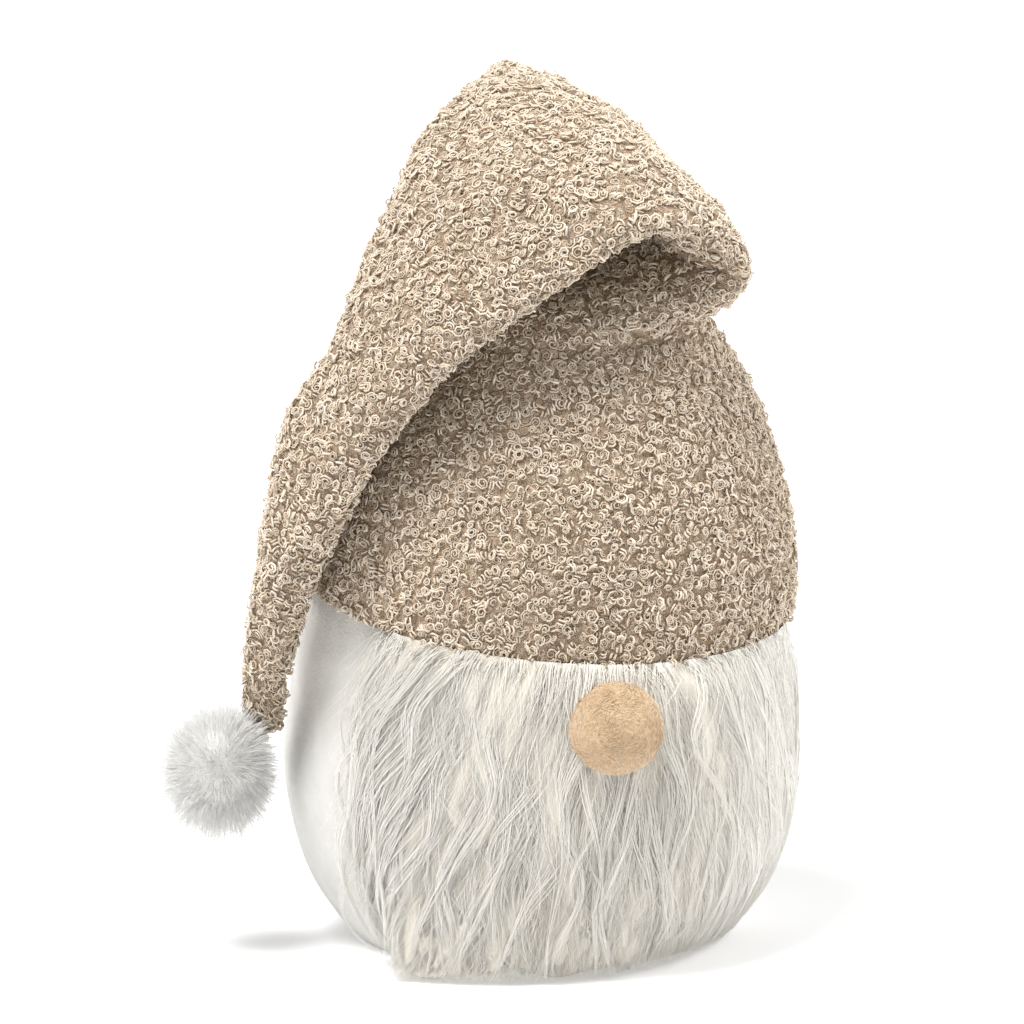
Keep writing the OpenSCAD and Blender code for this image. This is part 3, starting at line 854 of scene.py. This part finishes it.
d = (reach[member] * draw.uniform(0.8, 1.06, count))[:, None] * t
root_z = root[1][member] + draw.normal(0, 1.5, count)
turn = phase[member][:, None] + 2 * np.pi * d / pitch[member][:, None]
angle = (root[0][member][:, None] + lean[member][:, None] * 34 * (1 - np.exp(-d / 34))
         + swing[member][:, None] * (np.sin(turn) - np.sin(phase[member][:, None])) * smooth(d / 40 + 0.2)
         + draw.normal(0, 0.026, count)[:, None] * (1 - 0.88 * smooth(t * 1.15)))
wisp = hung_hair(angle, d, root_z, wisp_lift[member] + draw.normal(0, 0.5, count),
                 draw.uniform(0.7, 3.5, count), 1.6 * np.sin(turn * 1.3) * t)
hair_piece("beard_wisps", wisp, draw.uniform(0.1, 0.17, count), draw.uniform(0.85, 1.0, count))

# Downy fuzz: short fine hairs over the whole undercoat, each with its own slight bend.
for n in (1, 2):
    count = 6400
    theta_root = draw.uniform(fur_from, fur_to, count)
    root_z = 3 + (brim_height(theta_root) - 1) * draw.uniform(size=count)
    length = np.minimum(draw.uniform(14, 30, count), root_z + 1)
    d = length[:, None] * np.linspace(0, 1, 5)[None, :]
    lean = 0.004 * combing(theta_root) + draw.normal(0, 0.0028, count)
    angle = (theta_root[:, None] + lean[:, None] * d
             + draw.normal(0, 0.02, count)[:, None] * (d / 30) ** 2)
    fuzz = hung_hair(angle, d, root_z, draw.uniform(4.0, 7.6, count), draw.uniform(0.7, 5, count),
                     draw.normal(0, 0.8, count)[:, None] * (d / 25) ** 2)
    hair_piece(f"beard_down_{n}", fuzz, draw.uniform(0.08, 0.13, count), draw.uniform(0.45, 0.9, count))

# Strays: single long hairs that cross the locks in loose arcs.
count = 220
theta_root = draw.uniform(fur_from + 0.12, fur_to, count)
root_z = 20 + (brim_height(theta_root) - 22) * draw.uniform(0.15, 1, count)
length = np.minimum(draw.uniform(40, 80, count), root_z + 5)
d = length[:, None] * np.linspace(0, 1, 14)[None, :]
angle = (theta_root[:, None] + draw.normal(0, 0.0035, count)[:, None] * d
         + draw.uniform(0.02, 0.09, count)[:, None] * np.sin(draw.uniform(0, 6, count)[:, None] + d / 14))
stray = hung_hair(angle, d, root_z, draw.uniform(6, 9.5, count), draw.uniform(0.7, 3, count),
                  1.2 * np.sin(draw.uniform(0, 6, count)[:, None] + d / 11))
hair_piece("beard_strays", stray, draw.uniform(0.09, 0.13, count), draw.uniform(0.7, 1.0, count))

# ---- Nose -------------------------------------------------------------------------------------
# A gathered ball of short velour, stuffed hard and stitched through the beard's ground just under
# the brim. Its pile is brushed in swirls.

velour, tree = new_material("short_velour")
# Cotton-polyester velour in pale peach: pile under a millimetre, matt, with painted shade
# where the brushed tufts part.
place = add(tree, "TexCoord").outputs["Object"]
swirl = add(tree, "TexNoise", {
    "Vector": place, "Scale": 330, "Detail": 4, "Roughness": 0.65, "Distortion": 1.6})
tufts = add(tree, "TexNoise", {"Vector": place, "Scale": 1400, "Detail": 2})
pile = add(tree, "Math", {0: swirl.outputs["Fac"], 1: 2.0, 2: tufts.outputs["Fac"]}, operation="MULTIPLY_ADD")
bump = add(tree, "Bump", {"Strength": 0.9, "Distance": 0.0012, "Height": pile.outputs[0]})
# Painted shade: the colour follows the swirl that also shapes the bump, darker in its grooves.
shade = add(tree, "MapRange", {"Value": swirl.outputs["Fac"], "From Min": 0.36, "From Max": 0.6})
colour = add(tree, "Mix", {0: shade.outputs[0], 6: linear("#C9A67C"), 7: linear("#E2C6A4")}, data_type="RGBA")
shader = add(tree, "BsdfPrincipled", {
    "Base Color": colour.outputs[2], "Roughness": 0.95, "Specular IOR Level": 0.15, "Sheen Weight": 0.6,
    "Sheen Tint": linear("#FFE9CC"), "Normal": bump.outputs[0]})
add(tree, "OutputMaterial", {0: shader.outputs[0]})

# The brushed ends of the same pile, paler than its roots.
velour_pile = fur_material("velour_tufts", "#CFAC84", "#EDD8BD", 0.85, 0.2, 0.4)

nose_r, nose_at = 18.5, np.array([-1.5, -(body_radius(np.array(103.0)) + 8), 105.0])
ball_rings, ball_places = 60, 96
ball_faces = capped_faces(ball_rings, ball_places)
theta = np.linspace(0.02, np.pi - 0.02, ball_rings)[:, None]
turn = np.linspace(0, 2 * np.pi, ball_places, endpoint=False)
unit_ball = about_z(np.sin(theta), turn, -np.cos(theta))

# The ball is flattened at its back, where its gathered edge is sewn to the beard.
ball = unit_ball
ball_r = nose_r + 0.25 * wrinkle(ball[..., 0] * 20, ball[..., 2] * 20 + ball[..., 1] * 9, 4, 11)
ball = ball * ball_r[..., None]
depth = ball[..., 2]
ball[..., 2] = np.maximum(depth, -7.2 + 0.08 * (depth + 7.2))
ball = np.stack([ball[..., 0], -ball[..., 2], ball[..., 1] * 0.98], -1) + nose_at
nose = mesh_piece("nose_ball", poles(ball), ball_faces, velour)
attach(nose, "figure")
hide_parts("nose_cover")

# Its pile: tufts 1.5 mm long that lean along swirls over the ball.
draw = np.random.default_rng(33)
way = unit(draw.normal(size=(4600, 3)))
way = way[way[:, 1] < 0.36]
count = len(way)
swirl = unit(np.cross(way, np.stack([
    np.sin(3.1 * way[:, 2] + 1), np.cos(2.7 * way[:, 0]),
    np.sin(3.3 * way[:, 0] + 2.2 * way[:, 2])], -1)))
t = np.linspace(0, 1, 4)
tuft = (nose_at + (nose_r - 0.4 + 0.9 * t ** 0.7)[None, :, None] * way[:, None]
        + (1.5 * t ** 1.3)[None, :, None] * draw.uniform(0.6, 1.2, (count, 1, 1)) * swirl[:, None])
tuft[..., 2] = nose_at[2] + (tuft[..., 2] - nose_at[2]) * 0.98
points, faces = tubes(tuft, draw.uniform(0.17, 0.27, count)[:, None] * (1 - 0.75 * t), way)
tuft_tone = np.repeat(draw.uniform(0.25, 1, count), len(points) // count)
nose_pile = mesh_piece("nose_pile", points, faces, velour_pile, tone=tuft_tone)
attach(nose_pile, "figure")

nose_stuffing = mesh_piece("nose_stuffing", nose_at + (poles(ball) - nose_at) * 0.9,
                           ball_faces, wadding)
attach(nose_stuffing, "figure")
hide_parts("nose_filling")

# ---- Pompom -----------------------------------------------------------------------------------
# A ball of dense white faux fur drawn up round a little fibre and hung by a thread under the
# gathered tip of the cap. The fur stands out all round and droops a little.

# Fine modacrylic fibres, bright cool white and fluffy.
pompom_fibre = fur_material("white_faux_fur", "#E8E7E4", "#F6F5F2", 0.6, 0.3, 1.0, 0.6)

pom_at, pom_r, pom_core_r, pom_root_r = turned(np.array([-126.5, -44.0, 75.5])), 24.2, 16.5, 9.0
draw = np.random.default_rng(41)
count = 6400
way = unit(draw.normal(size=(count, 3)))
length = pom_r * draw.uniform(0.88, 1.08, count) * (1 + 0.22 * np.abs(way[:, 2]) ** 2)
t = np.linspace(0, 1, 5)
swirl = unit(np.cross(way, np.array([0.3, -0.5, 1.0])))
r = pom_root_r + (length[:, None] - pom_root_r) * t
path = (pom_at + r[..., None] * way[:, None]
        + (t ** 2 * 3.5)[None, :, None] * (swirl * draw.normal(0.5, 0.7, (count, 1)))[:, None]
        + np.array([0, 0, -1.0]) * (1.2 * t ** 2)[None, :, None])
fur = hair_piece("pompom_fur_hair", path, draw.uniform(0.1, 0.17, count), draw.uniform(0.5, 1, count),
                 "pompom", pompom_fibre)
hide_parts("pompom_fur")

core = poles(unit_ball * pom_core_r) + pom_at
pom_core = mesh_piece("pompom_core", core, ball_faces, pompom_fibre, tone=np.full(len(core), 0.4))
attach(pom_core, "pompom")
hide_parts("pompom_filling")

# ---- Small pieces kept from the frame ---------------------------------------------------------
# The stitches, the ties and the pellets in their bag keep their CAD shapes and get their finish.
# Only the gathering thread is wound again, because the tail's cloth ends in a new rim.

thread, tree = new_material("spun_polyester_thread")
# Three-ply sewing thread, cream, with its twist as fine diagonal bands.
place = add(tree, "TexCoord").outputs["Object"]
ply = add(
    tree, "TexWave", {"Vector": place, "Scale": 900, "Distortion": 1.0}, bands_direction="DIAGONAL")
bump = add(tree, "Bump", {"Strength": 0.5, "Distance": 0.0003, "Height": ply.outputs["Fac"]})
colour = add(tree, "Mix", {
    0: ply.outputs["Fac"], 6: linear("#D8CDB8"), 7: linear("#EFE7D6")}, data_type="RGBA")
shader = add(tree, "BsdfPrincipled", {
    "Base Color": colour.outputs[2], "Roughness": 0.7, "Normal": bump.outputs[0]})
add(tree, "OutputMaterial", {0: shader.outputs[0]})

# The bag is plain undyed cotton, matt and woven at 0.5 mm. The pellets are milky extruded plastic
# with a soft gloss.
inside = []
for name, texture, scale, low, high, roughness in (
        ("calico_lining", "TexChecker", 2000, "#DDD5C4", "#E9E3D6", 0.9),
        ("polypropylene_pellets", "TexNoise", 300, "#D9DCDD", "#F0F2F2", 0.35)):
    material, tree = new_material(name)
    place = add(tree, "TexCoord").outputs["Object"]
    grain = add(tree, texture, {"Vector": place, "Scale": scale})
    colour = add(tree, "Mix", {
        0: grain.outputs["Fac"], 6: linear(low), 7: linear(high)}, data_type="RGBA")
    shader = add(tree, "BsdfPrincipled", {"Base Color": colour.outputs[2], "Roughness": roughness})
    add(tree, "OutputMaterial", {0: shader.outputs[0]})
    inside.append(material)
lining, beads = inside

# The gathering thread: three turns round the tail, seven rings from its end.
loop = ground[-7] - cloth_normals[-7] * 0.1
loop = np.concatenate([loop, loop[:2]])
loop = np.concatenate([loop, loop + [0, 0, 0.9], loop + [0, 0, 1.8]])[None]
points, faces = tubes(loop, np.full(loop.shape[:2], 0.5), np.array([[0.0, 0.0, 1.0]]), 6)
gather = mesh_piece("tail_gather_thread", points, faces, thread)
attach(gather, "tail_end")
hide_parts("tail_gather")

for name, finish in (
        ("closing_stitches", thread), ("nose_thread", thread), ("cap_stitches", thread),
        ("pompom_tie", thread), ("pellet_bag", lining), ("pellets", beads)):
    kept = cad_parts[name].data
    kept.materials.clear()
    kept.materials.append(finish)
